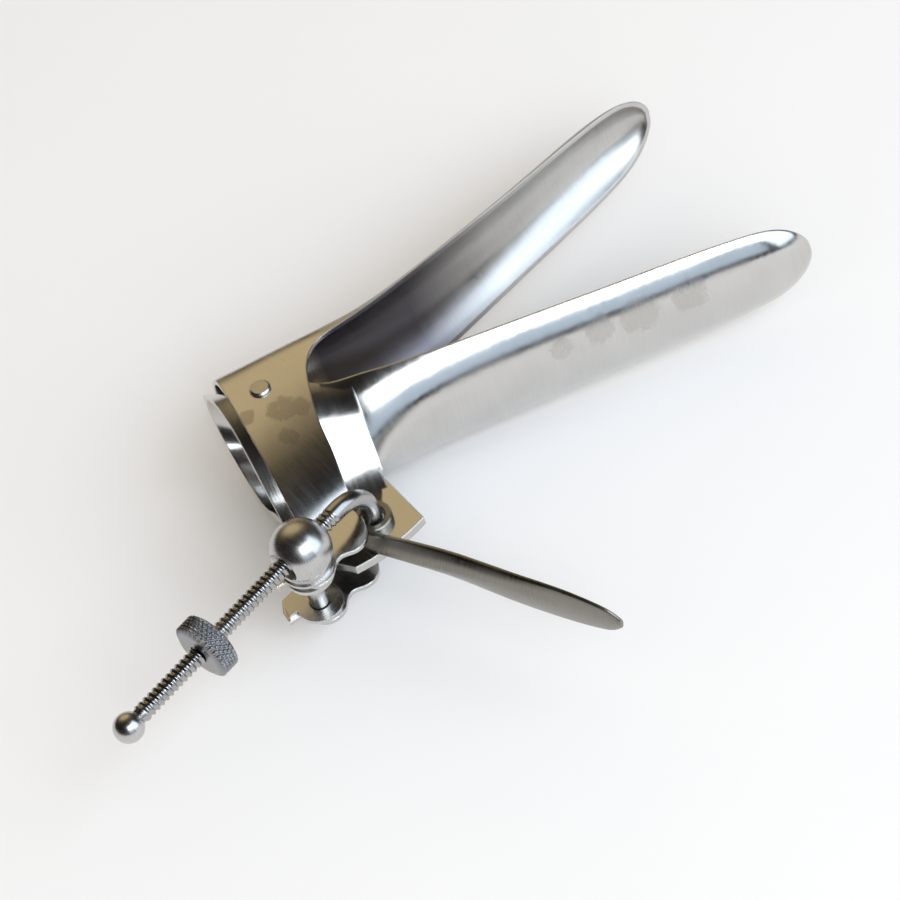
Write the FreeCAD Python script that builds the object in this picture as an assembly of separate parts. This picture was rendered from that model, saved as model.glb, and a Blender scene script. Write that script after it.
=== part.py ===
"""Bivalve speculum with a thumb lever and a side screw, in millimetres.

Frame: the hinge axis is Z, and the instrument lies on its side on the far rivet head (z = 0).
X runs along the upper valve towards its tip, Y towards the side the upper valve bulges to.
Tables give (x, value) along a valve; the lower valve is drawn closed and then turned open.
"""
import math
import os

import FreeCAD
import Part

V = FreeCAD.Vector

# Sheet and hinge
SHEET = 1.1                 # sheet that the valves are pressed from
RING_HALF = 17.0            # half width of the upper valve's ring, outside
HEAD_H = 0.7                # height of the rivet heads outside
MID_Z = RING_HALF + HEAD_H  # mid-plane of the instrument
WALL_GAP = 0.35             # gap between ring and collar at the hinge
COLLAR_HALF = RING_HALF - SHEET - WALL_GAP
OPEN_DEG = 24.8             # opening of the blades in the photographed pose
RIVET_D = 3.2
RIVET_HEAD_D = 4.4
RIVET_FIT = 0.05            # radial running clearance in the lower valve
RIVET_TAIL_H = 0.8
TAIL_GAP = 0.35             # gap between the formed tail and the collar
SPOT_DEPTH = 0.15           # flat that a rivet head seats on
EASE = 0.35                 # broken edge of the rivet heads

# Fork ears of the upper valve, and the tab between them
EAR_OUT = 6.7               # outer face of an ear from the mid-plane
CHEEK_T = 1.0
CHEEK_EYE_R = 5.0
TAB_HALF = 1.1              # half thickness of the folded tab of the lower valve
TAB_R = 41.3                # bottom edge of the tab about the hinge

# Screw linkage, in the upper valve's side view at the photographed opening
HOOK = (-2.0, -33.4)        # hook hole of the tab
STEM = (-21.2, -35.8)       # stem of the swivel ball
ROD_D = 4.0
ROD_CORE_D = 3.2            # neck of the rod inside the end ball
ROD_TILT_DEG = 0.8          # the rod passes a little beside the stem, which centres its swing
ROD_Z = MID_Z + 13.6        # height of the rod's axis
BEND_R = 8.0
FOOT_OUT = 2.0              # end of the hook beyond the tab
FOOT_BREAK = 0.5
HOLE_GAP = 0.5              # radial play of the hook in the tab
NUT_AT = 28.0               # nut centre from the ball centre
ROD_END = 50.8              # end ball centre from the ball centre
NECK_IN, NECK_OUT = 3.0, 1.2
END_BALL_D = 6.4
BALL_D = 13.0
BALL_BORE_D = 5.2
BALL_MOUTH_D = 7.0          # countersink on the nut side
BALL_FLAT = 5.4             # flat on the nut side from the ball centre
STEM_D = 4.0
STEM_FIT = 0.05
STEM_END = 0.3              # running gap beside the ears
FOOT_RING_D = 11.0          # turned foot of the ball on the near ear
WASHER_D = 6.6
WASHER_T = 0.9
NUT_D = 13.4
NUT_T = 5.0
NUT_FIT = 0.08
NUT_BEVEL = 1.3
KNURL_N = 30
KNURL_DEPTH = 0.45
KNURL_TWIST_DEG = 14.0

# Thumb lever: a bar from the hook to a thin hollow leaf
EYE_R = 4.1
EYE_T = 2.4
TAB_CLEAR = 1.7             # space below the tab before the lever sinks to its side
LEVER_PATH = [(-5.4, -33.0), (-6.2, -37.2), (-3.6, -46.0), (2.5, -65.0), (7.4, -80.0), (10.6, -90.0),
              (11.6, -93.2)]
LEVER_SIZE = [(4.2, 1.9, 0.05), (4.2, 2.0, 0.05), (3.9, 4.7, 0.15), (2.9, 10.4, 0.6), (2.3, 11.0, 0.8),
              (1.8, 7.8, 0.4), (1.2, 3.0, 0.1)]
LEVER_RISE = [0, 0, 0.4, 1.0, 1.2, 1.1, 1.0]

# Upper valve
A_TIP = 117.6               # tip from the hinge
B_TIP = 122.0
TIP_LEN = 16.0              # length of the spoon ends
TIP_STEPS = (0.5, 0.8, 0.95, 0.99)
RIM_A = 2.2                 # height of the upper valve's rim at its tip
A_BOTTOM = 31.5             # depth of the closed oval that the ring is cut from
A_TOP = [(-16, 24.5), (-1, 18.9), (5, 16.4), (11, 13.9), (18, 11.6), (23, 9.9), (30, 8.1), (35, 7.1),
         (41, 6.4), (60, 6.4), (85, 6.9), (103, 7.6)]
A_CENTRE = [(11, 0.0), (18, -2.2), (23, -3.6), (30, -4.9), (35, -5.5), (41, -6.0), (60, -5.8), (103, -3.4)]
A_HALF = [(41, RING_HALF), (60, RING_HALF - 0.7), (85, RING_HALF - 2.3), (103, RING_HALF - 3.6)]
A_STATIONS = [-16, -3, 8, 19, 32, 50, 76, A_TIP - TIP_LEN]
A_RIM = [(RIM_A + 0.3, 1.07), (RIM_A - 1.0, 0.765), (0.2, 0.51), (0.1, 0.255)]
A_DISTAL = [(20.0, 0.7), (14.5, -0.2), (11.0, -2.6), (7.8, -6.7), (4.6, -11.9), (2.1, -17.0), (0.6, -20.8),
            (-1.4, -25.1), (-3.2, -29.2)]
A_PROXIMAL = [(-15.8, -29.2), (-14.9, -24.6), (-12.7, -17.7), (-10.6, -10.9), (-8.1, -3.0), (-5.2, 6.0),
              (-0.6, 21.5)]
EAR_TOP = -28.2
SLOT_Y = (-34.0, -22.0)      # slot between the ears, cut into the ring above them
EAR_RIM = [(-5.0, EAR_TOP), (-5.1, -31.6), (-5.3, -34.6), (-6.6, -37.9), (-9.3, -39.9), (-12.0, -39.7),
           (-14.4, -38.6), (-16.2, -38.9), (-18.4, -40.5), (-21.2, -41.0), (-23.4, -40.0), (-24.8, -37.6),
           (-26.0, -34.5)]
FISHTAIL = [(-26.0, -34.5), (-28.5, -34.1), (-27.8, -31.2), (-25.9, -28.8), (-16.4, EAR_TOP)]
CHEEK = [(-25.4, -29.5), (-27.2, -31.4), (-27.9, -33.7), (-25.5, -34.0), (-24.2, -37.4), (-22.6, -39.6),
         (-17.5, -38.4), (-17.8, -32.2), (-20.5, -29.2)]

# Lower valve, drawn closed
RIM_B = -4.6                # rim line behind the tip
RIM_B_TIP = -3.4
B_KEEL = 31.0               # depth of the collar's keel
B_ARCH = 13.0               # height of the oval that the trough is cut from
B_TOP = [(-15, 20.2), (-11.8, 17.4), (-8, 13.9), (-5, 12.3), (0, 11.8), (18, 11.6)]
B_WALL = [(-15, COLLAR_HALF - 5.4), (-8, COLLAR_HALF - 2.4), (0, COLLAR_HALF), (8, COLLAR_HALF - 0.25),
          (18, COLLAR_HALF - 1.0)]
B_COLLAR_X = [-15, -8, 0, 8, 18]
B_CENTRE = [(19, 0.0), (27, 0.8), (35, 1.3), (44, 1.5), (60, 1.4), (92, 1.4), (105, 1.4)]
B_LOW = [(12, -18.6), (19, -16.0), (27, -13.6), (35, -12.1), (44, -11.2), (60, -10.6), (92, -9.2),
         (105, -8.5)]
B_HALF = [(12, COLLAR_HALF - 0.6), (19, COLLAR_HALF - 0.1), (27, COLLAR_HALF + 0.35), (41, RING_HALF - 0.5),
          (60, RING_HALF - 0.9), (85, RING_HALF - 2.2), (105, RING_HALF - 3.2)]
B_PINCH = [(12, 0.7), (19, 0.25), (27, 0.0)]
B_STATIONS = [12, 20, 32, 50, 76, B_TIP - TIP_LEN]
B_LIP = [(-12.6, 22.0), (-11.8, 16.2), (-10.1, 6.3), (-8.4, -3.9), (-6.9, -14.2), (-5.4, -24.5),
         (-5.2, -28.7)]
B_DISTAL = [(34.0, RIM_B), (26.4, -4.5), (18.7, -3.6), (10.6, -1.5), (6.0, 2.5), (1.5, 9.0), (-2.5, 20.0)]
TAB_EDGE = [(17.4, -20.5), (22.0, -35.0)]
TAB_START_DEG = -83.0
TAB_ROOT = -27.5            # top of the tab inside the keel

KAPPA = 0.5523              # cubic arc constant
BEYOND = 200.0              # past everything, for cuts that run through
CLEAR_X = A_TIP + 7.4       # past the tips, for the side outlines
CLEAR_Y = 30.0


# Helpers
def smooth(table, x):
    """Value at x on a monotone cubic through rows (x, value), level beyond its ends."""
    if x <= table[0][0]:
        return table[0][1]
    if x >= table[-1][0]:
        return table[-1][1]
    xs = [r[0] for r in table]
    ys = [r[1] for r in table]
    h = [b - a for a, b in zip(xs, xs[1:])]
    d = [(b - a) / k for a, b, k in zip(ys, ys[1:], h)]
    m = [d[0]] + [0.0] * (len(d) - 1) + [d[-1]]
    for i in range(1, len(d)):
        if d[i - 1] * d[i] > 0:
            w1 = 2 * h[i] + h[i - 1]
            w2 = h[i] + 2 * h[i - 1]
            m[i] = (w1 + w2) / (w1 / d[i - 1] + w2 / d[i])
    i = max(k for k in range(len(h)) if xs[k] <= x)
    t = (x - xs[i]) / h[i]
    return (ys[i] * (2 * t ** 3 - 3 * t ** 2 + 1) + m[i] * h[i] * (t ** 3 - 2 * t ** 2 + t)
            + ys[i + 1] * (3 * t ** 2 - 2 * t ** 3) + m[i + 1] * h[i] * (t ** 3 - t ** 2))


def bezier(points):
    curve = Part.BezierCurve()
    curve.setPoles(points)
    return curve.toShape()


def spline(points, z=0.0):
    curve = Part.BSplineCurve()
    curve.interpolate([V(x, y, z) for x, y in points])
    return curve.toShape()


def line(p, q, z=0.0):
    return Part.makeLine(V(p[0], p[1], z), V(q[0], q[1], z))


def plate(edges, z0, z1):
    """Plate from a closed outline drawn at z = 0, between two heights."""
    body = Part.Face(Part.Wire(edges)).extrude(V(0, 0, z1 - z0))
    body.translate(V(0, 0, z0))
    return body


def through(x, y, r):
    """Cylinder along Z through everything, for a hole."""
    return Part.makeCylinder(r, 2 * BEYOND, V(x, y, -BEYOND))


def turned(profile, base, axis):
    """Body of revolution from (along, radius) points about an axis through base."""
    pts = [V(r, 0, s) for s, r in profile]
    body = Part.Face(Part.makePolygon(pts + [pts[0]])).revolve(V(0, 0, 0), V(0, 0, 1), 360)
    body.Placement = FreeCAD.Placement(base, FreeCAD.Rotation(V(0, 0, 1), axis))
    return body


def ball(centre, axis, d):
    """Sphere turned about an axis, so that a bore along it meets clean faces."""
    r = d / 2
    arc = Part.Arc(V(0, 0, -r), V(r, 0, 0), V(0, 0, r)).toShape()
    face = Part.Face(Part.Wire([arc, Part.makeLine(V(0, 0, r), V(0, 0, -r))]))
    body = face.revolve(V(0, 0, 0), V(0, 0, 1), 360)
    body.Placement = FreeCAD.Placement(centre, FreeCAD.Rotation(V(0, 0, 1), axis))
    return body


def as_solid(shape):
    shape = shape.removeSplitter()
    return shape.Solids[0] if len(shape.Solids) == 1 else shape


def section(x, a, yc, bu, bl, pinch):
    """Closed oval in the plane x: half width a at y = yc, bu above it, bl below it.
    A pinch of 1 draws the lower half together into a narrow keel."""
    k = KAPPA
    side_y = yc - bl * (k * (1 - pinch) + 0.52 * pinch)
    low_y = yc - bl * (1 - pinch + 0.45 * pinch)
    low_z = a * k * (1 - pinch) + 0.25 * pinch
    quarters = [[(yc, a), (yc + k * bu, a), (yc + bu, k * a), (yc + bu, 0)],
                [(yc + bu, 0), (yc + bu, -k * a), (yc + k * bu, -a), (yc, -a)],
                [(yc, -a), (side_y, -a), (low_y, -low_z), (yc - bl, 0)],
                [(yc - bl, 0), (low_y, low_z), (side_y, a), (yc, a)]]
    return Part.Wire([bezier([V(x, y, MID_Z + z) for y, z in q]) for q in quarters])


def tube(rows):
    """Solid through sections given as (x, a, yc, bu, bl, pinch)."""
    return Part.makeLoft([section(*r) for r in rows], True, False)


def with_tip(rows, inset, rim, tip):
    """Rows with the stations that close a valve in a spoon end about its rim line."""
    x0, a, yc, bu, bl, pinch = rows[-1]
    out = list(rows)
    for f in TIP_STEPS:
        k = math.sqrt(1 - f * f)
        out.append((x0 + f * (tip - inset - x0), a * k, rim + (yc - rim) * k, bu * k, bl * k, pinch))
    return out


# Upper valve
def upper_rows(inset):
    """Stations of the upper valve's closed oval, inset by the sheet for its hollow."""
    rows = []
    for x in A_STATIONS:
        yc = smooth(A_CENTRE, x)
        top = smooth(A_TOP, x) - yc
        rows.append((x, smooth(A_HALF, x) - inset, yc, top - inset, A_BOTTOM + yc - inset, 0.0))
    return with_tip(rows, inset, RIM_A, A_TIP)


def upper_outline():
    """Side view of the pressed part: blade rim, ring and the roots of the ears."""
    rim = [(CLEAR_X if f > 1 else f * A_TIP, y) for y, f in A_RIM] + [A_DISTAL[0]]
    start = A_PROXIMAL[-1]
    above, beyond = (start[0], CLEAR_Y), (CLEAR_X, CLEAR_Y)
    return [line(start, above), line(above, beyond), line(beyond, rim[0]), spline(rim), spline(A_DISTAL),
            line(A_DISTAL[-1], A_PROXIMAL[0]), spline(A_PROXIMAL)]


def ear_plate(z0, z1):
    edges = [spline(EAR_RIM)] + [line(p, q) for p, q in zip(FISHTAIL, FISHTAIL[1:])]
    return plate(edges + [line(FISHTAIL[-1], EAR_RIM[0])], z0, z1)


def upper_valve():
    """Blade, ring and two fork ears from one sheet."""
    shell = tube(upper_rows(0.0)).cut(tube(upper_rows(SHEET)))
    shell = shell.common(plate(upper_outline(), -BEYOND, BEYOND))
    gap = 2 * (EAR_OUT - SHEET)
    slot = Part.makeBox(BEYOND, SLOT_Y[1] - SLOT_Y[0], gap, V(-BEYOND / 2, SLOT_Y[0], MID_Z - gap / 2))
    body = shell.cut(slot)
    for side in (1, -1):
        z0 = MID_Z + (EAR_OUT - SHEET if side > 0 else -EAR_OUT)
        body = body.fuse(ear_plate(z0, z0 + SHEET))
        seat = V(0, 0, MID_Z + side * (RING_HALF - SPOT_DEPTH))
        body = body.cut(Part.makeCylinder(RIVET_HEAD_D / 2 + 0.1, BEYOND, seat, V(0, 0, side)))
    body = body.cut(through(0, 0, RIVET_D / 2))
    return as_solid(body.cut(through(STEM[0], STEM[1], STEM_D / 2 + STEM_FIT)))


def ear_cheek(side):
    """Doubling plate brazed to the inner face of an ear round the stem hole."""
    z0 = MID_Z + (EAR_OUT - SHEET - CHEEK_T if side > 0 else -EAR_OUT + SHEET)
    eye = Part.makeCylinder(CHEEK_EYE_R, CHEEK_T, V(STEM[0], STEM[1], z0))
    edges = [line(p, q) for p, q in zip(CHEEK, CHEEK[1:] + CHEEK[:1])]
    body = eye.fuse(plate(edges, z0, z0 + CHEEK_T))
    return as_solid(body.cut(through(STEM[0], STEM[1], STEM_D / 2 + 5 * STEM_FIT)))


def near_ear_cheek():
    return ear_cheek(1)


def far_ear_cheek():
    return ear_cheek(-1)


def hinge_rivet(side):
    """Shouldered rivet, low head outside the ring and a formed tail inside the collar."""
    head_r = RIVET_HEAD_D / 2
    r = RIVET_D / 2
    top = RING_HALF + HEAD_H
    seat = RING_HALF - SPOT_DEPTH
    tail = COLLAR_HALF - SHEET - TAIL_GAP
    end = tail - RIVET_TAIL_H
    profile = [(end, 0), (end, head_r - EASE), (tail - EASE, head_r), (tail, head_r), (tail, r), (seat, r),
               (seat, head_r), (top - EASE, head_r), (top, head_r - EASE), (top, 0)]
    return turned(profile, V(0, 0, MID_Z), V(0, 0, side))


def near_hinge_rivet():
    return hinge_rivet(1)


def far_hinge_rivet():
    return hinge_rivet(-1)


# Lower valve
def trough_rows(inset):
    rows = []
    for x in B_STATIONS:
        yc = smooth(B_CENTRE, x)
        low = yc - smooth(B_LOW, x)
        rows.append((x, smooth(B_HALF, x) - inset, yc, B_ARCH - inset, low - inset, smooth(B_PINCH, x)))
    if inset:
        rows[0] = (rows[0][0] - inset,) + rows[0][1:]
    return with_tip(rows, inset, RIM_B_TIP, B_TIP)


def collar_rows(inset):
    """Stations of the collar, whose lower half is pinched to the keel that carries the tab."""
    rows = [(x, smooth(B_WALL, x) - inset, 0.0, smooth(B_TOP, x) - inset, B_KEEL - 4.5 * inset, 1.0)
            for x in B_COLLAR_X]
    if inset:
        rows[0] = (rows[0][0] - inset,) + rows[0][1:]
        rows[-1] = (rows[-1][0] - inset,) + rows[-1][1:]
    return rows


def lower_outline():
    """Side view of the pressed part: lip, keel, blade underside and rim."""
    lip_top, keel_end = B_LIP[0], B_LIP[-1]
    blade_low = TAB_EDGE[0][1]
    heel = (TAB_EDGE[0][0], -B_KEEL - 0.5)
    rim = [(CLEAR_X, RIM_B_TIP), (0.74 * B_TIP, RIM_B + 0.8), (0.49 * B_TIP, RIM_B + 0.1), B_DISTAL[0]]
    below = (CLEAR_X, blade_low)
    return [line(B_DISTAL[-1], lip_top), spline(B_LIP), line(keel_end, heel), line(heel, TAB_EDGE[0]),
            line(TAB_EDGE[0], below), line(below, rim[0]), spline(rim), spline(B_DISTAL)]


def tab_outline():
    """Flat tab under the keel; its bottom edge is an arc about the hinge."""
    corner = TAB_EDGE[1]
    a0 = math.radians(TAB_START_DEG)
    a1 = math.atan2(corner[1], corner[0])
    start, middle, end = [V(TAB_R * math.cos(a), TAB_R * math.sin(a), 0) for a in (a0, (a0 + a1) / 2, a1)]
    lip = B_LIP[-1]
    front = spline([lip, (-2.5, -35.0), (start.x - 1.6, start.y + 1.4), (start.x, start.y)])
    root = [(TAB_EDGE[0][0] - 2.4, TAB_ROOT), (lip[0] + 1.2, TAB_ROOT)]
    return [front, Part.Arc(start, middle, end).toShape(), line((end.x, end.y), TAB_EDGE[0]),
            line(TAB_EDGE[0], root[0]), line(root[0], root[1]), line(root[1], lip)]


def hook_in_valve():
    """Hook hole in the closed drawing."""
    a = math.radians(OPEN_DEG)
    return HOOK[0] * math.cos(a) - HOOK[1] * math.sin(a), HOOK[0] * math.sin(a) + HOOK[1] * math.cos(a)


def lower_valve():
    """Blade, collar and folded tab from one sheet, turned to the photographed opening."""
    outer = tube(collar_rows(0.0)).fuse(tube(trough_rows(0.0)))
    inner = tube(collar_rows(SHEET)).fuse(tube(trough_rows(SHEET)))
    shell = outer.cut(inner).common(plate(lower_outline(), -BEYOND, BEYOND))
    body = shell.fuse(plate(tab_outline(), MID_Z - TAB_HALF, MID_Z + TAB_HALF))
    hook_x, hook_y = hook_in_valve()
    body = body.cut(through(hook_x, hook_y, ROD_D / 2 + HOLE_GAP))
    body = body.cut(through(0, 0, RIVET_D / 2 + RIVET_FIT))
    reach = COLLAR_HALF - SHEET - 0.2
    body = body.cut(Part.makeCylinder(RIVET_HEAD_D / 2 + 0.3, 2 * reach, V(0, 0, MID_Z - reach)))
    body = as_solid(body)
    body.rotate(V(0, 0, 0), V(0, 0, 1), -OPEN_DEG)
    return body


# Thumb lever
def lever_section(point, along, thick, tall, dish, z):
    """Section across the bar: flat narrow edges, a hollow thumb face and a full back."""
    n = V(-abs(along.y), math.copysign(along.x, along.x * along.y), 0)
    n.normalize()
    u, w = thick / 2, tall / 2
    hollow, back = u - 1.7 * dish, -u - 1.1 * dish
    sides = [[(-u, w), (u, w)], [(u, w), (hollow, 0), (u, -w)],
             [(u, -w), (-u, -w)], [(-u, -w), (back, 0), (-u, w)]]
    edges = []
    for poles in sides:
        edges.append(bezier([point + n * a + V(0, 0, z + b) for a, b in poles]))
    return Part.Wire(edges)


def thumb_lever():
    seat = MID_Z + TAB_HALF
    last = len(LEVER_PATH) - 1
    wires = []
    for i, (x, y) in enumerate(LEVER_PATH):
        p, q = LEVER_PATH[max(0, i - 1)], LEVER_PATH[min(last, i + 1)]
        along = V(q[0] - p[0], q[1] - p[1], 0)
        wires.append(lever_section(V(x, y, 0), along, *LEVER_SIZE[i], seat + EYE_T / 2 + LEVER_RISE[i]))
    bar = Part.makeLoft(wires, True, False)
    low = -TAB_R - TAB_CLEAR
    under_tab = Part.makeBox(BEYOND, LEVER_PATH[0][1] - low, BEYOND, V(-BEYOND / 2, low, seat - BEYOND))
    body = bar.cut(under_tab).fuse(Part.makeCylinder(EYE_R, EYE_T, V(HOOK[0], HOOK[1], seat)))
    return as_solid(body.cut(through(HOOK[0], HOOK[1], ROD_D / 2 + HOLE_GAP)))


# Rod, balls and nut
def rod_axis():
    a = math.atan2(STEM[1] - HOOK[1], STEM[0] - HOOK[0]) - math.radians(ROD_TILT_DEG)
    return V(math.cos(a), math.sin(a), 0)


def on_rod(beyond_stem):
    """Point of the rod's axis at a distance beyond the stem."""
    reach = math.hypot(STEM[0] - HOOK[0], STEM[1] - HOOK[1])
    return V(HOOK[0], HOOK[1], ROD_Z) + rod_axis() * (reach + beyond_stem)


def tie_rod():
    """Hook leg, bend and straight shank; the thread is cut in the finished scene."""
    axis = rod_axis()
    r, core = ROD_D / 2, ROD_CORE_D / 2
    corner = V(HOOK[0], HOOK[1], ROD_Z)
    foot = V(HOOK[0], HOOK[1], MID_Z - TAB_HALF - FOOT_OUT)
    leg_top = corner - V(0, 0, BEND_R)
    middle = corner + (axis - V(0, 0, 1)) * (BEND_R * (1 - math.sqrt(0.5)))
    bend = Part.Arc(leg_top, middle, corner + axis * BEND_R).toShape()
    path = Part.Wire([Part.makeLine(foot, leg_top), bend])
    hook = path.makePipeShell([Part.Wire(Part.makeCircle(r, foot, V(0, 0, 1)))], True, False)
    rim = [e for e in hook.Edges if abs(e.CenterOfMass.z - foot.z) < 0.01 and e.Length > ROD_D]
    hook = hook.makeChamfer(FOOT_BREAK, rim)
    end = (on_rod(ROD_END) - corner).Length
    neck, stop = end - NECK_IN, end + NECK_OUT
    profile = [(BEND_R, 0), (BEND_R, r), (neck - 0.4, r), (neck, core), (stop, core), (stop, 0)]
    return as_solid(hook.fuse(turned(profile, corner, axis)))


def end_ball():
    """Ball pressed on the rod's neck, which keeps the nut from running off."""
    centre, axis = on_rod(ROD_END), rod_axis()
    bore = Part.makeCylinder(ROD_CORE_D / 2, END_BALL_D + NECK_OUT, centre - axis * END_BALL_D, axis)
    return as_solid(ball(centre, axis, END_BALL_D).cut(bore))


def swivel_ball():
    """Ball that the rod slides through, with its turned foot and the stem through both ears."""
    axis = rod_axis()
    centre = V(STEM[0], STEM[1], ROD_Z)
    head = ball(centre, axis, BALL_D).cut(Part.makeCylinder(BALL_D, BALL_D, centre + axis * BALL_FLAT, axis))
    seat = MID_Z + EAR_OUT + STEM_END
    under = MID_Z - EAR_OUT - STEM_END - WASHER_T
    r, ring = STEM_D / 2, FOOT_RING_D / 2
    top = ROD_Z - BALL_FLAT / 2
    profile = [(under, 0), (under, r), (seat, r), (seat, ring - 1.0), (seat + 0.5, ring), (seat + 1.2, ring),
               (seat + 1.5, ring - 0.5), (seat + 1.9, ring - 0.5), (seat + 2.2, ring - 0.1),
               (seat + 2.9, ring - 0.4), (top, ring - 1.0), (top, 0)]
    body = head.fuse(turned(profile, V(STEM[0], STEM[1], 0), V(0, 0, 1)))
    bore, mouth = BALL_BORE_D / 2, BALL_MOUTH_D / 2
    depth = BALL_MOUTH_D - BALL_BORE_D
    drill = [(-BALL_D, 0), (-BALL_D, bore), (BALL_FLAT - depth, bore), (BALL_FLAT, mouth), (BALL_D, mouth),
             (BALL_D, 0)]
    return as_solid(body.cut(turned(drill, centre, axis)))


def stem_washer():
    """Washer that the end of the stem is closed over, outside the far ear."""
    z = MID_Z - EAR_OUT - STEM_END - WASHER_T
    ring = Part.makeCylinder(WASHER_D / 2, WASHER_T, V(STEM[0], STEM[1], z))
    return as_solid(ring.cut(through(STEM[0], STEM[1], STEM_D / 2)))


def star(twist, s):
    """Toothed outline of the knurl in the plane s."""
    r = NUT_D / 2
    pts = []
    for i in range(2 * KNURL_N):
        a = math.pi * i / KNURL_N + twist
        rr = r - KNURL_DEPTH * (i % 2)
        pts.append(V(rr * math.cos(a), rr * math.sin(a), s))
    return Part.makePolygon(pts + pts[:1])


def thumb_nut():
    """Nut whose diamond knurl is what two opposite twists of teeth have in common."""
    half, r = NUT_T / 2, NUT_D / 2
    twist = math.radians(KNURL_TWIST_DEG)
    one, two = [Part.makeLoft([star(0, -half), star(t, half)], True, True) for t in (twist, -twist)]
    blank = [(-half, 0), (-half, r - NUT_BEVEL), (-half + NUT_BEVEL / 2, r), (half - NUT_BEVEL / 2, r),
             (half, r - NUT_BEVEL), (half, 0)]
    body = one.common(two).common(turned(blank, V(0, 0, 0), V(0, 0, 1)))
    body = body.cut(through(0, 0, ROD_D / 2 + NUT_FIT))
    body.Placement = FreeCAD.Placement(on_rod(NUT_AT), FreeCAD.Rotation(V(0, 0, 1), rod_axis()))
    return as_solid(body)


os.makedirs("parts", exist_ok=True)
PIECES = (upper_valve, near_ear_cheek, far_ear_cheek, near_hinge_rivet, far_hinge_rivet, lower_valve,
          thumb_lever, tie_rod, end_ball, swivel_ball, stem_washer, thumb_nut)
for make in PIECES:
    shape = make()
    shape.exportStep("parts/%s.step" % make.__name__)
    print(make.__name__, "solids", len(shape.Solids), "valid", shape.isValid(), round(shape.Volume, 1), "mm3")
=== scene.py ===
# %% [markdown]
# # A bivalve speculum in brushed steel
# The instrument is two pressed steel valves that hinge on two rivets, with a thumb lever, and a
# screw with a knurled nut that holds them open. Its solids come from the CAD model, in metres,
# and nine of them keep their shape here. This lesson gives them their finish: satin, ground and
# turned steel. It also makes three pieces whose solids are plain, the threaded rod, the thumb
# lever and the knurled nut, and it sets the table, the light and the camera.

# %% Load the CAD frame
import math

import bpy
from mathutils import Matrix, Vector


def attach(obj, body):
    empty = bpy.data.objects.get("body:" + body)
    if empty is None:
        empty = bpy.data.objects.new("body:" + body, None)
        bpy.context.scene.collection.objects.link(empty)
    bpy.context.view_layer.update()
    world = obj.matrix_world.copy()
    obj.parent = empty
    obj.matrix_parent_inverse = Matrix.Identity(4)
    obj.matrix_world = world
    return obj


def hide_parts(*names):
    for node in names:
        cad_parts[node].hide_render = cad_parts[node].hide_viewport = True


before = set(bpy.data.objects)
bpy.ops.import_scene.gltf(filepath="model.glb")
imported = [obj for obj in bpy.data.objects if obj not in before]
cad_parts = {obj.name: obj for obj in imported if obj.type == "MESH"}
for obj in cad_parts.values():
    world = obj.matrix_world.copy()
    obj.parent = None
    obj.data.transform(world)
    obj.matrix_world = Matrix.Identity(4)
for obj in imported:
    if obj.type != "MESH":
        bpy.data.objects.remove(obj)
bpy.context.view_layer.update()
MM = 0.001


# %% [markdown]
# Every finish is a node material, so this is where the few helpers go. A node graph reads from
# left to right: a position on the piece, a pattern at that position, and the shader. The
# position is the object's own, in metres, so a scratch that is a fifth of a millimetre
# wide is written as that. The CAD pieces sit at the origin, so one position means the
# same place on every one of them.

# %% Node helpers
def new_material(name):
    """An empty node material with its shader, and a function that adds and links a node."""
    mat = bpy.data.materials.new(name)
    mat.use_nodes = True
    tree = mat.node_tree
    shader = tree.nodes["Principled BSDF"]

    def add(kind, sockets=None, **settings):
        node = tree.nodes.new(kind)
        for key, value in settings.items():
            setattr(node, key, value)
        for key, value in (sockets or {}).items():
            if isinstance(value, bpy.types.NodeSocket):
                tree.links.new(value, node.inputs[key])
            else:
                node.inputs[key].default_value = value
        return node

    def into_shader(key, socket):
        tree.links.new(socket, shader.inputs[key])

    return mat, shader, add, into_shader


def cell_noise(add, cell, detail=3.0, turn=0.0, rough=0.55):
    """Noise whose cells are so many millimetres long in X, Y and Z, turned about Z by degrees."""
    here = add("ShaderNodeTexCoord").outputs["Object"]
    grid = add("ShaderNodeMapping", {"Vector": here, "Rotation": (0, 0, math.radians(turn)),
                                     "Scale": [c * MM for c in cell]}, vector_type="TEXTURE")
    return add("ShaderNodeTexNoise", {"Vector": grid.outputs[0], "Scale": 1.0, "Detail": detail,
                                      "Roughness": rough}).outputs["Fac"]


def remap(add, value, low, high, to_low, to_high):
    """value from low..high to to_low..to_high, held at the ends."""
    return add("ShaderNodeMapRange", {"Value": value, "From Min": low, "From Max": high,
                                      "To Min": to_low, "To Max": to_high}).outputs[0]


def maths(add, operation, first, second):
    return add("ShaderNodeMath", {0: first, 1: second}, operation=operation).outputs[0]


def blend_colour(add, share, first, second):
    """A colour between first and second by share, which is 0 to 1."""
    node = add("ShaderNodeMix", {"Factor": share}, data_type="RGBA")
    for socket, value in ((node.inputs[6], first), (node.inputs[7], second)):
        if isinstance(value, bpy.types.NodeSocket):
            node.id_data.links.new(value, socket)
        else:
            socket.default_value = (*value, 1.0)
    return node.outputs[2]


# %% [markdown]
# Satin steel is brushed on a belt. Close up, the grain is thousands of fine lines that all run
# one way, a little uneven, with a few deeper hairlines from use. Grain is best made as bump and
# roughness, because real grain shows only where light grazes it, and a little as colour. Two
# line noises do that here, and a soft cloud changes how matt the steel is from place to place.
# Handled edges are polished bright. The Bevel node finds them: near an edge its rounded
# normal leans away from the flat one, and the lean becomes a mask.

# %% Brushed steel
WORN_STEEL = (0.83, 0.82, 0.8)


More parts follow.
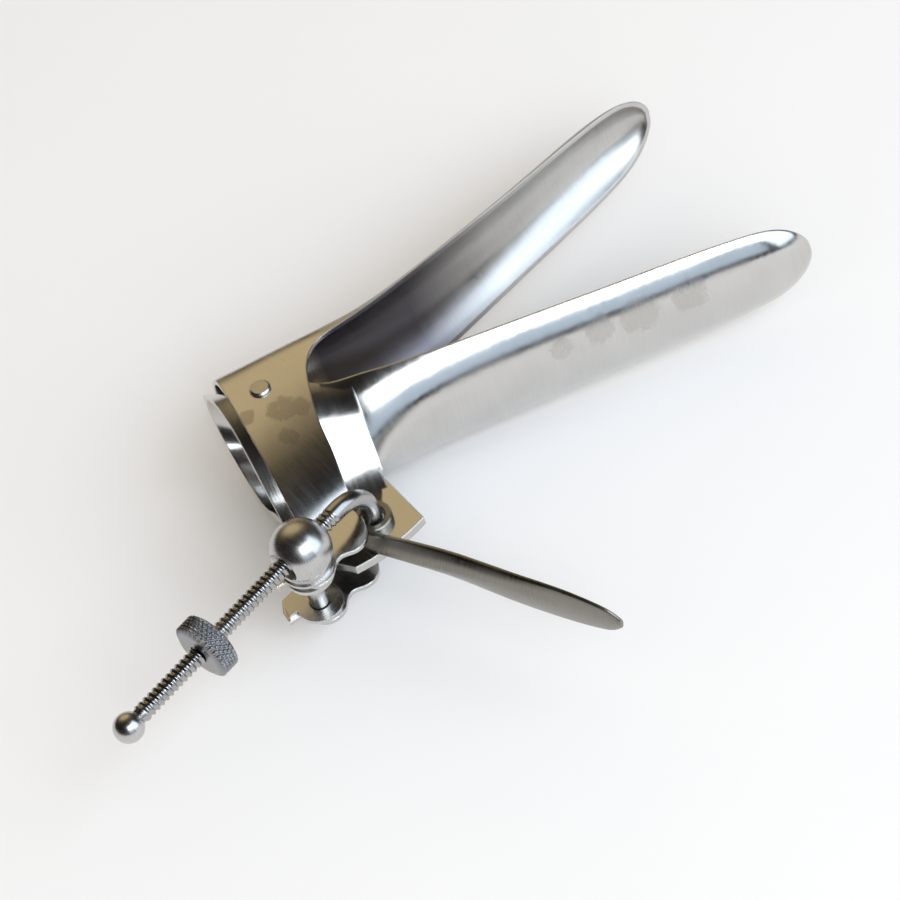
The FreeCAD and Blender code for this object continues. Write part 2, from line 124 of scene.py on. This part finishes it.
def brushed_steel(name, colour, grain, turn=0.0, matt=(0.24, 0.34), depth=0.004, dark=0.86,
                  edge=0.16, deep=1.0):
    """Steel with brush lines, whose cells are grain millimetres in X, Y and Z.
    matt is the range of its roughness, depth how deep the lines are and edge the radius of
    its edges. deep tilts the shading as if the trough were so many times deeper."""
    mat, shader, add, into_shader = new_material(name)
    shader.inputs["Metallic"].default_value = 1.0
    lines = cell_noise(add, grain, detail=2.0, turn=turn, rough=0.5)
    hairs = cell_noise(add, [g * 2.3 for g in grain], detail=1.0, turn=turn + 4.0)
    cloud = cell_noise(add, (11.0, 11.0, 11.0), detail=4.0)
    satin = remap(add, cloud, 0.35, 0.65, *matt)
    streak = remap(add, lines, 0.3, 0.7, -0.03, 0.03)
    tone = remap(add, cloud, 0.3, 0.7, 0.0, 0.6)
    line_tone = remap(add, lines, 0.35, 0.65, 0.0, 0.4)
    shade = add("ShaderNodeMath", {0: tone, 1: line_tone}, operation="ADD", use_clamp=True).outputs[0]
    edge_soft = soft = add("ShaderNodeBevel", {"Radius": edge * MM}, samples=4).outputs[0]
    if deep != 1.0:
        leaning = add("ShaderNodeVectorMath", {0: soft, 1: (1.0, 1.0, deep)},
                      operation="MULTIPLY").outputs[0]
        soft = add("ShaderNodeVectorMath", {0: leaning}, operation="NORMALIZE").outputs[0]
    flat = add("ShaderNodeNewGeometry").outputs["Normal"]
    lean = add("ShaderNodeVectorMath", {0: edge_soft, 1: flat},
               operation="DOT_PRODUCT").outputs["Value"]
    worn = remap(add, lean, 0.72, 0.97, 1.0, 0.0)
    steel = blend_colour(add, shade, [c * dark for c in colour], colour)
    into_shader("Base Color", blend_colour(add, worn, steel, WORN_STEEL))
    into_shader("Roughness", maths(add, "ADD", satin, streak))
    ridges = maths(add, "ADD", lines, hairs)
    bump = add("ShaderNodeBump", {"Height": ridges, "Strength": 0.5, "Distance": depth * MM,
                                  "Normal": soft})
    into_shader("Normal", bump.outputs[0])
    return mat, shader, add, into_shader


STEEL = (0.66, 0.645, 0.62)
OPENING = -24.8


# %% [markdown]
# The valves are brushed round the tube, across their length. They also show where water dried:
# flat greyish patches with a ragged outline, on the hinge ring and on the side of the lower
# blade. Each patch is a soft ball round a point of the steel, broken up by a noise. Inside
# it the steel is darker and more matt. Deep in the throat of the upper valve the steel looks
# darker than its shape alone makes it, so painted shade darkens the colour of its inside there.

# %% Dried water, and painted shade in the throat
def dry_water(add, into_shader, shader, spots, tint, matt):
    """Patches at (x, y, z, radius) in millimetres, darker by tint and with the roughness matt."""
    here = add("ShaderNodeTexCoord").outputs["Object"]
    ragged = cell_noise(add, (2.6, 2.6, 2.6), detail=6.0, rough=0.75)
    mask = None
    for x, y, z, radius in spots:
        away = add("ShaderNodeVectorMath", {0: here, 1: (x * MM, y * MM, z * MM)},
                   operation="DISTANCE").outputs["Value"]
        near = remap(add, away, 0.35 * radius * MM, radius * MM, 0.62, 0.0)
        mask = near if mask is None else maths(add, "MAXIMUM", mask, near)
    wet = remap(add, maths(add, "ADD", mask, ragged), 0.86, 1.0, 0.0, 0.8)
    colour = shader.inputs["Base Color"].links[0].from_socket
    stain = add("ShaderNodeMix", {"Factor": wet}, data_type="RGBA", blend_type="MULTIPLY")
    shader.id_data.links.new(colour, stain.inputs[6])
    stain.inputs[7].default_value = (*tint, 1.0)
    into_shader("Base Color", stain.outputs[2])
    rough = shader.inputs["Roughness"].links[0].from_socket
    into_shader("Roughness", maths(add, "ADD", rough, remap(add, wet, 0.0, 1.0, 0.0, matt)))


RING_END, BLADE_START = 17.0, 21.0
SMOOTHER_RING = 0.14


def paint_throat_shade(add, into_shader, shader, start, end, tint):
    """Painted shade: the colour of the steel's inside is darkened by tint before X = start and left as it
    is after X = end, in millimetres.
    The ring, before RING_END, is smoother than the blade and gets no painted shade."""
    here = add("ShaderNodeTexCoord").outputs["Object"]
    x = add("ShaderNodeSeparateXYZ", {"Vector": here}).outputs["X"]
    facing = add("ShaderNodeNewGeometry").outputs["Normal"]
    down = add("ShaderNodeSeparateXYZ", {"Vector": facing}).outputs["Y"]
    inside = remap(add, down, -0.1, -0.5, 0.0, 1.0)
    depth = maths(add, "MULTIPLY", inside, remap(add, x, start * MM, end * MM, 1.0, 0.0))
    early = remap(add, x, RING_END * MM, BLADE_START * MM, 0.0, 1.0)
    colour = shader.inputs["Base Color"].links[0].from_socket
    # Painted shade: the inside of the throat is multiplied by the dark tint.
    throat_shade = add("ShaderNodeMix", {"Factor": maths(add, "MULTIPLY", depth, early)}, data_type="RGBA",
                blend_type="MULTIPLY")
    shader.id_data.links.new(colour, throat_shade.inputs[6])
    throat_shade.inputs[7].default_value = (*tint, 1.0)
    into_shader("Base Color", throat_shade.outputs[2])
    rough = shader.inputs["Roughness"].links[0].from_socket
    smoother = remap(add, early, 0.0, 1.0, SMOOTHER_RING, 0.0)
    into_shader("Roughness", maths(add, "SUBTRACT", rough, smoother))


ring_spots = [(-0.5, -7.5, 34.0, 5.5), (2.5, -9.5, 33.6, 4.0), (-7.0, -3.5, 34.6, 3.4),
              (-4.0, -13.0, 32.0, 4.0)]
blade_spots = [(69.7, -41.9, 23.8, 8.0), (61.3, -38.3, 24.2, 6.0), (80.5, -46.3, 23.5, 7.0),
               (53.0, -35.0, 23.6, 4.5)]
VALVE_GRAIN = (0.24, 9.0, 9.0)
upper_steel, upper_shader, upper_add, upper_into = brushed_steel(
    "valve_steel", STEEL, VALVE_GRAIN, matt=(0.3, 0.38), edge=0.5, deep=1.6)
dry_water(upper_add, upper_into, upper_shader, ring_spots, (0.74, 0.72, 0.7), 0.1)
# Painted shade: the inside of the upper valve's throat is darkened to a violet grey.
paint_throat_shade(upper_add, upper_into, upper_shader, 44.0, 68.0, (0.27, 0.26, 0.3))
lower_steel, lower_shader, lower_add, lower_into = brushed_steel(
    "lower_valve_steel", STEEL, VALVE_GRAIN, turn=OPENING, matt=(0.15, 0.23), depth=0.006, edge=0.5)
dry_water(lower_add, lower_into, lower_shader, blade_spots, (0.86, 0.85, 0.83), 0.08)
print("dried patches:", len(ring_spots) + len(blade_spots))

# %% [markdown]
# The small pieces are steel too, but worked in other ways. The lever is ground across its width
# and has gone a little olive with handling. The balls and the rod are turned, so their lines
# run round the rod. The nut is turned from darker steel.

# %% The other finishes
TURNED_AT = 6.3

lever_steel = brushed_steel("lever_steel", (0.3, 0.283, 0.25), (0.2, 4.0, 4.0), turn=-77.0,
                            matt=(0.26, 0.36), depth=0.012, dark=0.7)[0]
cheek_steel = brushed_steel("cheek_steel", STEEL, (3.0, 0.3, 3.0), turn=12.0)[0]
rivet_steel = brushed_steel("rivet_steel", (0.6, 0.585, 0.55), (1.2, 1.2, 0.3), matt=(0.24, 0.36))[0]
turned_steel = brushed_steel("turned_steel", (0.6, 0.59, 0.575), (0.25, 4.0, 4.0), turn=TURNED_AT,
                             matt=(0.22, 0.3))[0]
nut_steel = brushed_steel("nut_steel", (0.34, 0.34, 0.35), (0.25, 2.0, 2.0), turn=TURNED_AT,
                          matt=(0.24, 0.34), edge=0.08)[0]

finishes = {
    "upper_valve": upper_steel, "lower_valve": lower_steel, "near_ear_cheek": cheek_steel,
    "far_ear_cheek": cheek_steel, "near_hinge_rivet": rivet_steel, "far_hinge_rivet": rivet_steel,
    "thumb_lever": lever_steel, "end_ball": turned_steel, "swivel_ball": turned_steel,
    "stem_washer": turned_steel, "thumb_nut": nut_steel,
}


def dress(obj, mat):
    obj.data.materials.clear()
    obj.data.materials.append(mat)


for node, mat in finishes.items():
    dress(bpy.data.objects[node], mat)
print("finished nodes:", len(finishes))

# %% [markdown]
# Three pieces and the table are drawn here point by point. Each is a list of points in metres and
# a list of faces, so one function turns such lists into an object. The round ones are built of
# rings of points, joined by bands of four-sided faces, so the steps round a circle get a
# function too.

# %% From points to a piece
def drawn_piece(name, verts, faces):
    mesh = bpy.data.meshes.new(name)
    mesh.from_pydata(verts, [], faces)
    mesh.validate()
    obj = bpy.data.objects.new(name, mesh)
    bpy.context.scene.collection.objects.link(obj)
    return obj


def circle(sides):
    """(cosine, sine) of so many even steps round a circle."""
    return [(math.cos(2 * math.pi * j / sides), math.sin(2 * math.pi * j / sides)) for j in range(sides)]


print("points of a circle in eight steps:", [(round(c, 2), round(n, 2)) for c, n in circle(8)])

# %% [markdown]
# The screw is one rod. Its foot hooks through the tab, it bends, and from just before the ball
# to the end it carries a coarse rolled thread. A screw modifier could wind a groove, but its ends
# would be open and the bend would have to be joined on. So the rod is one sweep: rings of points
# along its path. First comes the path, from the foot up the hook leg, round the bend and out.

# %% Path of the rod
HOOK = Vector((-2.0, -33.4))
STEM = Vector((-21.2, -35.8))
ROD_TILT = math.radians(0.8)
ROD_Z = 31.3
FOOT_Z = 14.6
BEND_R = 8.0
ROD_R = 2.0
CORE_R = 1.62
PITCH = 1.32
THREAD_FROM, THREAD_TO = 9.3, 66.4
NECK_FROM, ROD_TO = 66.8, 71.35
STEPS_PER_PITCH, BEND_STEPS = 10, 24

reach = STEM - HOOK
run_angle = math.atan2(reach.y, reach.x) - ROD_TILT
RUN = Vector((math.cos(run_angle), math.sin(run_angle), 0.0))
CORNER = Vector((HOOK.x, HOOK.y, ROD_Z))


def rod_stations():
    """(centre, direction, radius, thread share, distance) along the rod, in millimetres."""
    up = Vector((0, 0, 1))
    for rise, cut in ((0.0, 0.5), (0.18, 0.2), (0.5, 0.0), (4.0, 0.0)):
        z, r = FOOT_Z + rise, ROD_R - cut
        yield Vector((HOOK.x, HOOK.y, z)), up, r, 0.0, z
    middle = CORNER + (RUN - up) * BEND_R
    for k in range(BEND_STEPS + 1):
        a = math.radians(90) * k / BEND_STEPS
        yield middle - RUN * BEND_R * math.cos(a) + up * BEND_R * math.sin(a), (
            up * math.cos(a) + RUN * math.sin(a)), ROD_R, 0.0, 0.0
    step = PITCH / STEPS_PER_PITCH
    count = int((THREAD_TO - BEND_R) / step)
    for k in range(1, count + 1):
        s = BEND_R + k * step
        share = (min(1.0, max(0.0, (s - THREAD_FROM) / PITCH))
                 * min(1.0, max(0.0, (THREAD_TO - s) / PITCH)))
        yield CORNER + RUN * s, RUN, ROD_R, share, s
    for s, r in ((NECK_FROM, CORE_R), (ROD_TO, CORE_R)):
        yield CORNER + RUN * s, RUN, r, 0.0, s


print("rod stations:", len(list(rod_stations())))

# %% [markdown]
# Then comes the thread. Where it is, each point's radius follows the height of a ridge at its
# angle. One turn of angle goes with one pitch of length, so the ridge winds by itself, and
# a share that grows over one turn lets it run out as a real thread does.

# %% The threaded rod
SIDES = 40


def ridge(turns):
    """Height of the thread from 0, its root, to 1, its crest: a V with a rounded crest."""
    t = abs(turns % 1.0 - 0.5) * 2.0
    return 1.0 - (1.0 - math.cos(math.pi * min(1.0, t * 1.1))) / 2.0


def rod_mesh(name):
    verts, faces = [], []
    side = Vector((RUN.y, -RUN.x, 0.0))
    for centre, along, r, share, s in rod_stations():
        over = along.cross(side)
        for j, (c, n) in enumerate(circle(SIDES)):
            cut = share * (1.0 - ridge(s / PITCH - j / SIDES))
            verts.append((centre + (side * c + over * n) * (r - (ROD_R - CORE_R) * cut)) * MM)
    rings = len(verts) // SIDES
    for i in range(rings - 1):
        for j in range(SIDES):
            k = (j + 1) % SIDES
            faces.append((i * SIDES + j, i * SIDES + k, (i + 1) * SIDES + k, (i + 1) * SIDES + j))
    faces.append(tuple(reversed(range(SIDES))))
    faces.append(tuple(range((rings - 1) * SIDES, rings * SIDES)))
    obj = drawn_piece(name, verts, faces)
    for p in obj.data.polygons:
        p.use_smooth = len(p.vertices) == 4
    return obj


threaded_rod = rod_mesh("threaded_rod")
screw_steel = brushed_steel("screw_steel", (0.46, 0.45, 0.44), (0.25, 2.0, 2.0), turn=6.3, matt=(0.2, 0.28),
                            edge=0.05)[0]
dress(threaded_rod, screw_steel)
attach(threaded_rod, "screw_rod")
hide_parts("tie_rod")
print("threaded rod:", len(threaded_rod.data.vertices), "points")

# %% [markdown]
# The thumb lever is forged: it leaves its eye as a narrow bar, widens into a leaf and thins out to
# the tip. The solid has plain flat edges and a slim root. On the real one the leaf's front has a
# ridge that climbs from the lower edge, both edges run out thin, and the root is fuller. So it
# is swept here: each cross-section is drawn from a few widths, and the eye is a lathed ring.

# %% The thumb lever
EYE_Z = (18.8, 20.6)
EYE_OUT, EYE_IN = 4.1, 2.5
EYE_BREAK = 0.3
EYE_TURNS, LEAF_ROWS = 64, 72
FRONT_POINTS, BACK_POINTS = 15, 13
EDGE_HALF = 0.15
# Middle of the leaf in X and Y, its lower and upper edge in Z, and its thickness in front.
LEVER = [(-5.2, -33.2, 18.9, 20.9, 2.0), (-6.2, -37.4, 18.9, 22.4, 2.0), (-5.2, -42.0, 18.5, 24.0, 2.0),
         (-3.2, -48.0, 17.8, 25.2, 2.1), (0.0, -57.0, 16.9, 26.0, 2.0), (4.0, -70.0, 16.0, 26.4, 1.6),
         (7.6, -81.0, 16.0, 26.4, 1.2), (10.3, -89.5, 17.3, 25.0, 0.8), (11.4, -93.0, 20.0, 22.6, 0.4)]


def between(rows, t):
    """Row at a place t from 0 to 1 on a smooth curve through the rows."""
    last = len(rows) - 1
    i = min(last - 1, int(t * last))
    u = t * last - i
    a, b, c, d = (rows[max(0, min(last, i + k))] for k in (-1, 0, 1, 2))
    return [0.5 * (2 * q + (r - p) * u + (2 * p - 5 * q + 4 * r - w) * u * u
                   + (3 * q - p - 3 * r + w) * u ** 3) for p, q, r, w in zip(a, b, c, d)]


def leaf_section(half, share):
    """(out, height share) round one section: a ridged front and a full back. The ridge climbs
    from the lower edge at the root to above the middle, and gets softer."""
    crest = -0.75 + 1.1 * min(1.0, max(0.0, (share - 0.08) / 0.5))
    points = []
    for k in range(FRONT_POINTS):
        h = 1.0 - 2.0 * k / (FRONT_POINTS - 1)
        away = (h - crest) / (1 - crest) if h > crest else (crest - h) / (1 + crest)
        points.append((EDGE_HALF + half * (1.0 - away ** (1.3 + 0.7 * share)), h))
    for k in range(1, BACK_POINTS + 1):
        h = -1.0 + 2.0 * k / (BACK_POINTS + 1)
        points.append((-EDGE_HALF - 0.8 * half * (1.0 - h * h), h))
    return points


def leaf_points():
    for i in range(LEAF_ROWS):
        t = i / (LEAF_ROWS - 1)
        x, y, low, high, half = between(LEVER, t)
        ahead, behind = between(LEVER, min(1.0, t + 0.02)), between(LEVER, max(0.0, t - 0.02))
        along = Vector((ahead[0] - behind[0], ahead[1] - behind[1], 0)).normalized()
        front = Vector((along.y, -along.x, 0))
        for out, h in leaf_section(half, t):
            z = (low + high) / 2 + h * (high - low) / 2
            yield (Vector((x, y, z)) + front * out) * MM


def lever_mesh(name):
    verts, faces = list(leaf_points()), []
    sides = FRONT_POINTS + BACK_POINTS
    for i in range(LEAF_ROWS - 1):
        for j in range(sides):
            k = (j + 1) % sides
            faces.append((i * sides + j, (i + 1) * sides + j, (i + 1) * sides + k, i * sides + k))
    leaf_faces = len(faces)
    faces.append(tuple(range(sides)))
    faces.append(tuple(reversed(range((LEAF_ROWS - 1) * sides, LEAF_ROWS * sides))))
    first = len(verts)
    low, high = EYE_Z
    profile = [(EYE_IN, low), (EYE_OUT, low), (EYE_OUT, high - EYE_BREAK), (EYE_OUT - EYE_BREAK, high),
               (EYE_IN + EYE_BREAK, high), (EYE_IN, high - EYE_BREAK)]
    for r, z in profile:
        verts += [Vector((HOOK.x + r * c, HOOK.y + r * n, z)) * MM for c, n in circle(EYE_TURNS)]
    for i in range(len(profile)):
        a, b = first + i * EYE_TURNS, first + (i + 1) % len(profile) * EYE_TURNS
        for j in range(EYE_TURNS):
            k = (j + 1) % EYE_TURNS
            faces.append((a + j, a + k, b + k, b + j))
    obj = drawn_piece(name, verts, faces)
    for p in obj.data.polygons:
        p.use_smooth = p.index < leaf_faces
    return obj


forged_lever = lever_mesh("forged_lever")
dress(forged_lever, lever_steel)
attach(forged_lever, "lower_blade")
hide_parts("thumb_lever")
print("forged lever:", len(forged_lever.data.vertices), "points")

# %% [markdown]
# The thumb nut has a diamond knurl, which a wheel pressed into its rim. The solid has it in a
# coarse form, and the real one is finer. It is drawn as one lathe profile with its rim
# points pulled in: two families of grooves wind round it in opposite directions, and
# what is left between them stands up as diamonds.

# %% The knurled nut
NUT_AT = reach.length + 28.0
NUT_R, NUT_HALF, NUT_BORE = 6.64, 2.5, 2.08
DIAMONDS, GROOVE, RIM_IN = 34, 0.42, 0.7
NUT_SIDES, RIM_ROWS = DIAMONDS * 8, 34


def knurl_depth(turns, along):
    """How far the rim is pressed in at a share of a turn and a height in millimetres."""
    step = 2 * math.pi * NUT_R / DIAMONDS
    depth = 0.0
    for way in (1, -1):
        phase = (turns * DIAMONDS + way * along / step * 0.8) % 1.0
        depth = max(depth, 1.0 - 3.0 * min(phase, 1.0 - phase))
    return GROOVE * max(0.0, depth)


def nut_profile():
    """(distance along the rod from the nut's middle, radius) from face to face."""
    rim_from, rim_to = -NUT_HALF + RIM_IN, NUT_HALF - RIM_IN
    face, step = NUT_R - 1.5, NUT_R - 1.2
    rim = [(rim_from + (rim_to - rim_from) * k / RIM_ROWS, NUT_R) for k in range(RIM_ROWS + 1)]
    return [(-NUT_HALF, NUT_BORE), (-NUT_HALF, face), (-NUT_HALF + 0.12, step), *rim,
            (NUT_HALF - 0.12, step), (NUT_HALF, face), (NUT_HALF, NUT_BORE)]


def nut_mesh(name):
    side = Vector((RUN.y, -RUN.x, 0.0))
    over = RUN.cross(side)
    centre = CORNER + RUN * NUT_AT
    profile = nut_profile()
    verts, faces = [], []
    for along, r in profile:
        for j, (c, n) in enumerate(circle(NUT_SIDES)):
            rr = r - knurl_depth(j / NUT_SIDES, along) if r == NUT_R else r
            verts.append((centre + RUN * along + (side * c + over * n) * rr) * MM)
    for i in range(len(profile)):
        a, b = i * NUT_SIDES, (i + 1) % len(profile) * NUT_SIDES
        for j in range(NUT_SIDES):
            k = (j + 1) % NUT_SIDES
            faces.append((a + j, b + j, b + k, a + k))
    return drawn_piece(name, verts, faces)


knurled_nut = nut_mesh("knurled_nut")
dress(knurled_nut, nut_steel)
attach(knurled_nut, "screw_nut")
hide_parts("thumb_nut")
print("knurled nut:", len(knurled_nut.data.vertices), "points")

# %% [markdown]
# The instrument lies on a white table. The table is one large plane with a faint, soft
# unevenness in its white, as a painted board has.

# %% Table
TABLE_HALF = 4.0
corners = [(x * TABLE_HALF, y * TABLE_HALF, 0) for x, y in ((-1, -1), (1, -1), (1, 1), (-1, 1))]
table = drawn_piece("table", corners, [(0, 1, 2, 3)])
mat, shader, add, into_shader = new_material("table_white")
shader.inputs["Roughness"].default_value = 0.8
shader.inputs["Specular IOR Level"].default_value = 0.1
cloudy = cell_noise(add, (90.0, 90.0, 90.0), detail=3.0)
into_shader("Base Color", blend_colour(add, cloudy, (0.88, 0.875, 0.88), (0.91, 0.905, 0.905)))
dress(table, mat)
print("table:", 2 * TABLE_HALF, "m wide")


# %% [markdown]
# Steel has no colour of its own to speak of: it shows the room. So the room sets the look. A
# tall cool window stands on one side, and the steel shows it as a bright bluish band. Three area
# lamps make it: its bright upper part, the bluer sky low in it, and a broad part round to the
# side that lights the inside of the upper blade. Their size makes the soft shadow.

# %% Window
def direction(azimuth, elevation):
    a, e = math.radians(azimuth), math.radians(elevation)
    return Vector((math.cos(e) * math.cos(a), math.cos(e) * math.sin(a), math.sin(e)))


def window(name, azimuth, elevation, distance, wide, tall, radiance, colour):
    """A soft rectangular lamp that faces the instrument. radiance 1 looks like white paper."""
    lamp = bpy.data.lights.new(name, "AREA")
    lamp.shape = "RECTANGLE"
    lamp.size, lamp.size_y = wide, tall
    lamp.energy = radiance * math.pi * wide * tall
    lamp.color = colour
    obj = bpy.data.objects.new(name, lamp)
    away = direction(azimuth, elevation)
    obj.location = away * distance
    obj.rotation_mode = "QUATERNION"
    obj.rotation_quaternion = away.to_track_quat("Z", "Y")
    bpy.context.scene.collection.objects.link(obj)
    return obj


window("window_light", -98.0, 46.0, 1.6, 1.0, 0.8, 4.1, (0.86, 0.93, 1.0))
window("sky_light", -102.0, 20.0, 1.6, 1.0, 0.62, 1.0, (0.66, 0.81, 1.0))
window("side_light", -55.0, 33.0, 1.5, 1.2, 1.5, 2.25, (0.74, 0.86, 1.0))

# %% [markdown]
# The rest of the room is the world: warm wood tones in front of a dark corner. What the steel
# shows and what lights the table are set apart with the Light Path node. Rays that have
# bounced off a matt surface meet a plain pale room, so the shadow stays soft and light, and all
# the others meet the gradient. It is warm in one direction and dark away from it.

# %% Room
WARM_TOWARD = (68.0, 38.0)
PALE_ROOM = (0.61, 0.565, 0.51)
world = bpy.data.worlds.new("room")
bpy.context.scene.world = world
world.use_nodes = True
tree = world.node_tree
coords = tree.nodes.new("ShaderNodeTexCoord")
toward = tree.nodes.new("ShaderNodeVectorMath")
toward.operation = "DOT_PRODUCT"
toward.inputs[1].default_value = direction(*WARM_TOWARD)
tree.links.new(coords.outputs["Generated"], toward.inputs[0])
ramp = tree.nodes.new("ShaderNodeValToRGB")
stops = [(0.6, (0.02, 0.017, 0.015)), (0.8, (0.075, 0.06, 0.042)), (0.9, (0.34, 0.27, 0.155)),
         (0.96, (0.72, 0.57, 0.33))]
for where, _ in stops[2:]:
    ramp.color_ramp.elements.new(where)
for element, (where, colour) in zip(ramp.color_ramp.elements, stops):
    element.position = where
    element.color = (*colour, 1.0)
tree.links.new(toward.outputs["Value"], ramp.inputs[0])
path = tree.nodes.new("ShaderNodeLightPath")
seen = tree.nodes.new("ShaderNodeMix")
seen.data_type = "RGBA"
tree.links.new(path.outputs["Is Diffuse Ray"], seen.inputs["Factor"])
tree.links.new(ramp.outputs[0], seen.inputs[6])
seen.inputs[7].default_value = (*PALE_ROOM, 1.0)
tree.links.new(seen.outputs[2], tree.nodes["Background"].inputs[0])
tree.nodes["Background"].inputs[1].default_value = 1.0
print("room tones:", len(stops))

# %% [markdown]
# The camera looks down on the table from the left front, at the angle that the proportions of
# the instrument give. Its place, aim and up direction are in the frame of the solids.

# %% Camera
EYE = Vector((-178.4, -363.2, 485.3)) * MM
AIM = Vector((30.72, -16.19, -4.2)) * MM
UP = Vector((0.616, 0.487, 0.619))
SENSOR = 36.0
FOCAL_PX, FRAME_PX = 2886.5, 900.0
look = (AIM - EYE).normalized()
right = look.cross(UP).normalized()
above = right.cross(look)
camera_data = bpy.data.cameras.new("photo_camera")
camera_data.sensor_width = SENSOR
camera_data.lens = FOCAL_PX / FRAME_PX * SENSOR
camera_data.clip_start = 0.01
camera = bpy.data.objects.new("photo_camera", camera_data)
bpy.context.scene.collection.objects.link(camera)
camera.matrix_world = Matrix.Translation(EYE) @ Matrix((right, above, -look)).transposed().to_4x4()
bpy.context.scene.camera = camera
bpy.context.scene.view_settings.view_transform = "Standard"
print("camera lens in mm:", round(camera_data.lens, 1))
